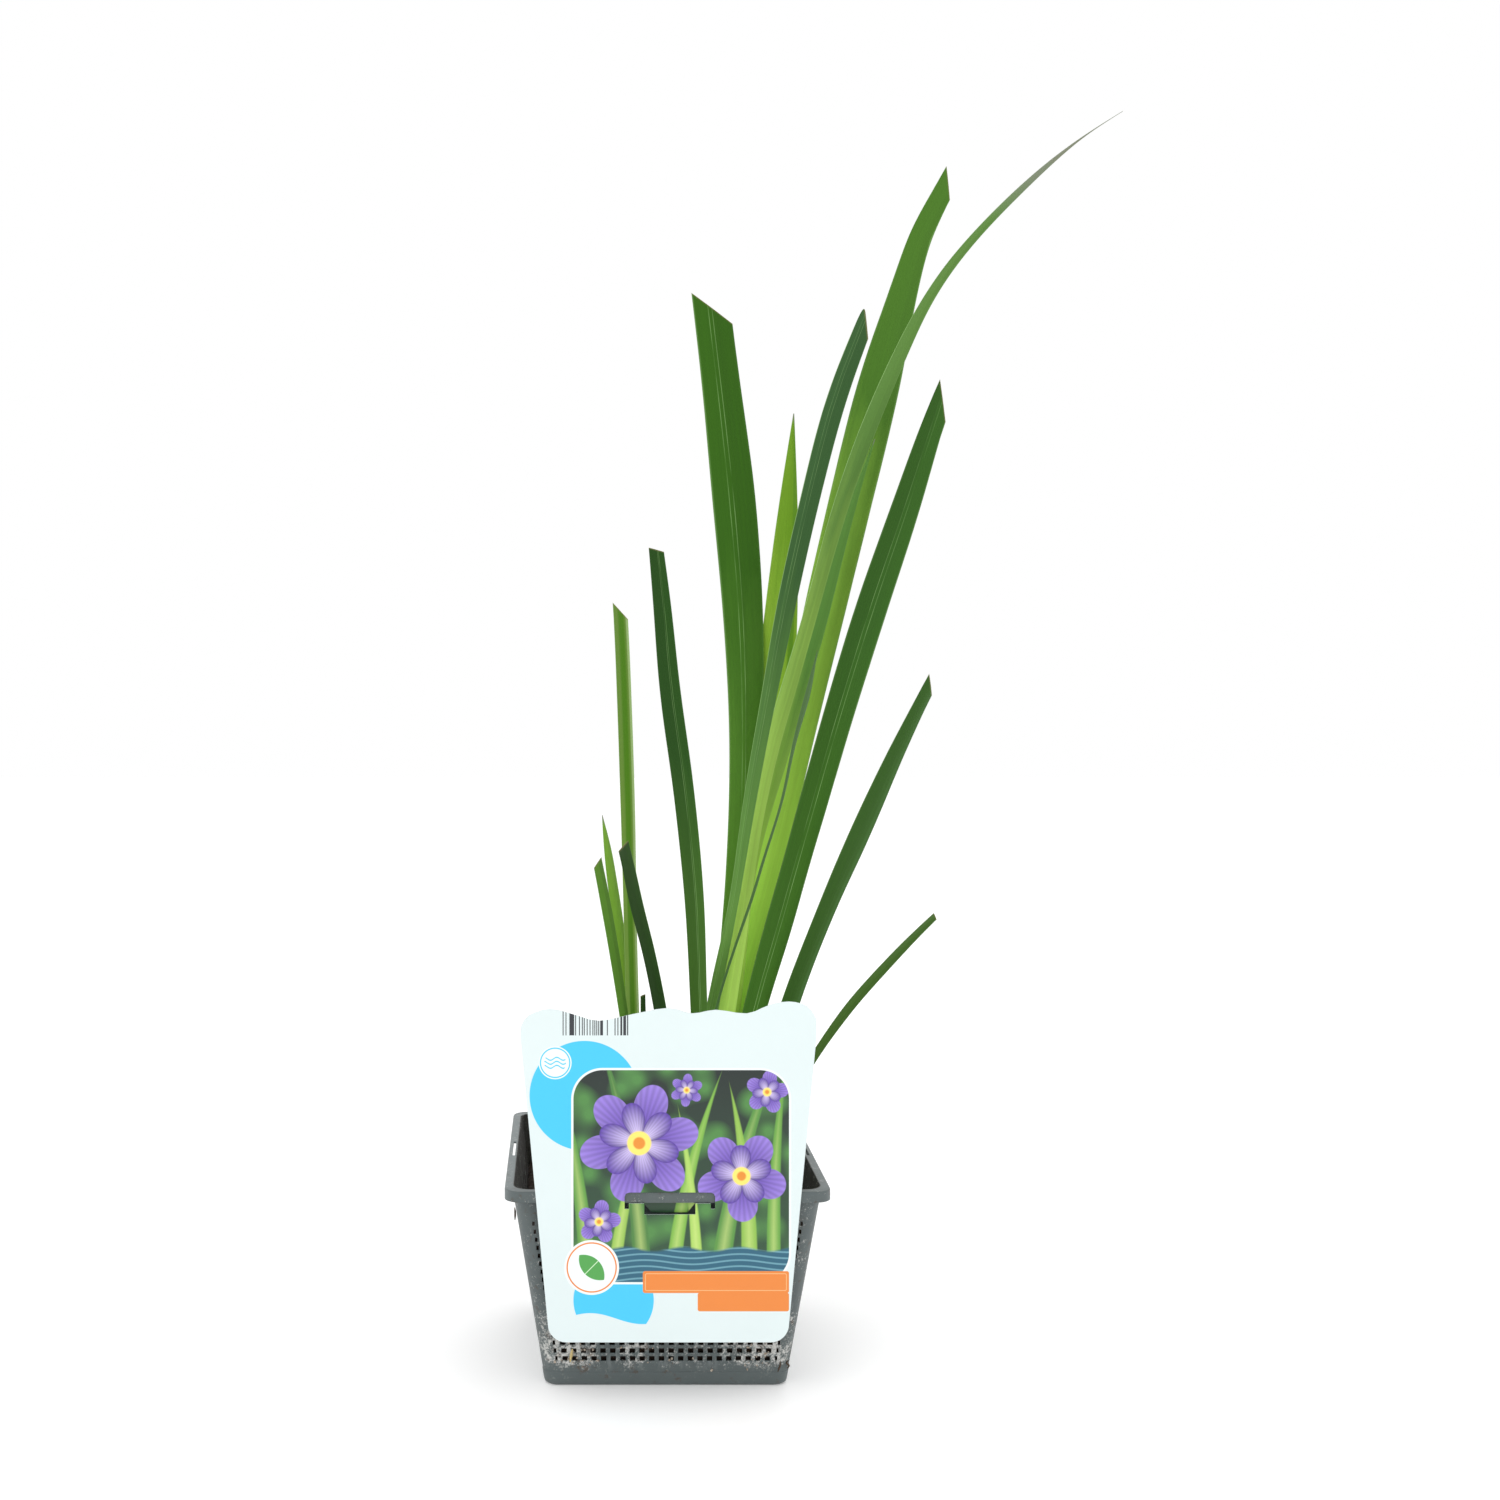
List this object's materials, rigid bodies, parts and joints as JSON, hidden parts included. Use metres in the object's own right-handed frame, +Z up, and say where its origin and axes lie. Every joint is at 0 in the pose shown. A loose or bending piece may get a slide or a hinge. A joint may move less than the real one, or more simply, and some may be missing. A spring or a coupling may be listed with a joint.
{
  "type": "potted blue flag iris",
  "caption": "Young blue flag iris with long sword-shaped leaves in a square plastic pond basket of soil, with a hang-on plant label card.",
  "frame": {"origin": "centre of the basket's flat underside, on the surface that it stands on", "axes": "+Z up along the leaves, -Y towards the label's printed side, +X to the right as seen from the label's side"},
  "size_m": [0.3801, 0.1813, 0.7491],
  "materials": {
    "basket_plastic": "moulded dark grey plastic with a soft sheen, lime crust and soil marks near its foot",
    "soil": "damp dark brown potting soil with crumbs and light fibres",
    "card": "thin pale card of satin plastic, printed on its front",
    "leaf_dark": "smooth deep green leaf with fine lengthwise veins",
    "leaf_mid": "smooth mid green leaf with fine lengthwise veins",
    "leaf_pale": "smooth yellow-green young leaf with fine lengthwise veins",
    "leaf_blue": "smooth blue-green leaf with fine lengthwise veins"
  },
  "bodies": {
    "root": {"pot": "basket_plastic", "soil": "soil", "label": "card", "leaf_left_cut": "leaf_dark", "leaf_left_pointed": "leaf_pale", "leaf_left_tall": "leaf_pale", "leaf_left_dark": "leaf_dark", "leaf_left_stub": "leaf_dark", "leaf_middle_dark": "leaf_dark", "leaf_broad_left": "leaf_dark", "leaf_pale_pointed": "leaf_pale", "leaf_blue_green": "leaf_blue", "leaf_long_arching": "leaf_mid", "leaf_tall_cut": "leaf_mid", "leaf_dark_right": "leaf_dark", "leaf_inner_pointed": "leaf_mid", "leaf_narrow_edge": "leaf_blue", "leaf_right_cut": "leaf_dark", "leaf_right_low": "leaf_dark"}
  },
  "joints": []
}
